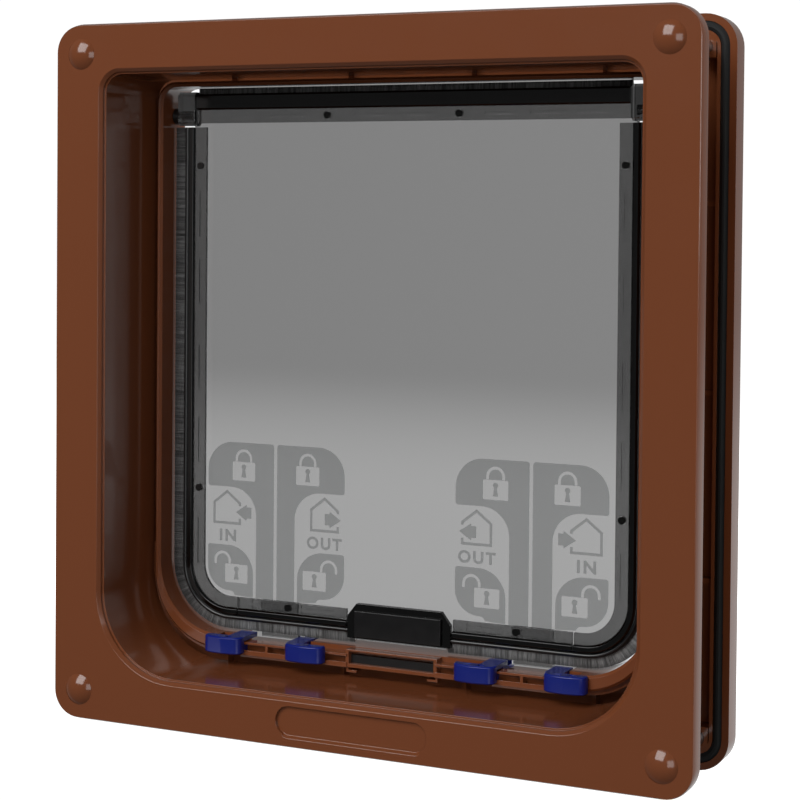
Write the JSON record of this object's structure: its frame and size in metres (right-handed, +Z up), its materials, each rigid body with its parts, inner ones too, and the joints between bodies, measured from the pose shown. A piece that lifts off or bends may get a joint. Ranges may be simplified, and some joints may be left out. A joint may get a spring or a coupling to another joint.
{
  "type": "cat flap",
  "caption": "Locking cat flap for a door: two flanged frames, a hinged clear flap with brush seals and a magnet catch, and sliding latches in the sill.",
  "frame": {"origin": "centre of the bounding box in plan, at the bottom edge of the flanges", "axes": "+Z up, +X to the right seen from the room, +Y through the door from the room to the outside"},
  "size_m": [0.2, 0.0422, 0.208],
  "materials": {
    "brown_abs": "glossy moulded ABS",
    "clear_polycarbonate": "clear polycarbonate with a smoke-grey tint",
    "tinted_strip": "smoke-black moulded strip",
    "brush_pile": "grey nylon brush pile",
    "blue_slider": "satin moulded acetal",
    "foam_cord": "closed-cell foam cord",
    "zinc_screw": "zinc-plated steel",
    "magnet_ferrite": "black ferrite magnet",
    "pivot_acetal": "black acetal"
  },
  "bodies": {
    "frame": {"inner_frame": "brown_abs", "outer_frame": "brown_abs", "gasket": "foam_cord", "fixing_screws": "zinc_screw", "screw_cap_top_left": "brown_abs", "screw_cap_top_right": "brown_abs", "screw_cap_bottom_left": "brown_abs", "screw_cap_bottom_right": "brown_abs", "lock_rail": "brown_abs", "frame_magnet": "magnet_ferrite"},
    "flap": {"flap_panel": "clear_polycarbonate", "strip_top": "tinted_strip", "brush_top": "brush_pile", "magnet_carrier": "tinted_strip", "flap_magnet": "magnet_ferrite", "flap_rivets": "tinted_strip", "hinge_pin_right": "pivot_acetal", "hinge_pin_left": "pivot_acetal", "strip_side_right": "tinted_strip", "strip_side_left": "tinted_strip", "strip_bottom_right": "tinted_strip", "strip_bottom_left": "tinted_strip", "brush_side_right": "brush_pile", "brush_side_left": "brush_pile", "brush_bottom_right": "brush_pile", "brush_bottom_left": "brush_pile"},
    "left_in_latch": {"latch_in_left": "blue_slider"},
    "left_out_latch": {"latch_out_left": "blue_slider"},
    "right_out_latch": {"latch_out_right": "blue_slider"},
    "right_in_latch": {"latch_in_right": "blue_slider"}
  },
  "joints": [
    {"name": "flap_swing", "type": "hinge", "parent": "frame", "child": "flap", "pos_m": [0, 0.0147, 0.1819], "axis": [1, 0, 0], "range_deg": [-85, 85]},
    {"name": "left_in_latch_slide", "type": "slide", "parent": "frame", "child": "left_in_latch", "axis": [1, 0, 0], "range_m": [0, 0.00715]},
    {"name": "left_out_latch_slide", "type": "slide", "parent": "frame", "child": "left_out_latch", "axis": [-1, 0, 0], "range_m": [0, 0.00715]},
    {"name": "right_out_latch_slide", "type": "slide", "parent": "frame", "child": "right_out_latch", "axis": [1, 0, 0], "range_m": [0, 0.00715]},
    {"name": "right_in_latch_slide", "type": "slide", "parent": "frame", "child": "right_in_latch", "axis": [-1, 0, 0], "range_m": [0, 0.00715]}
  ]
}
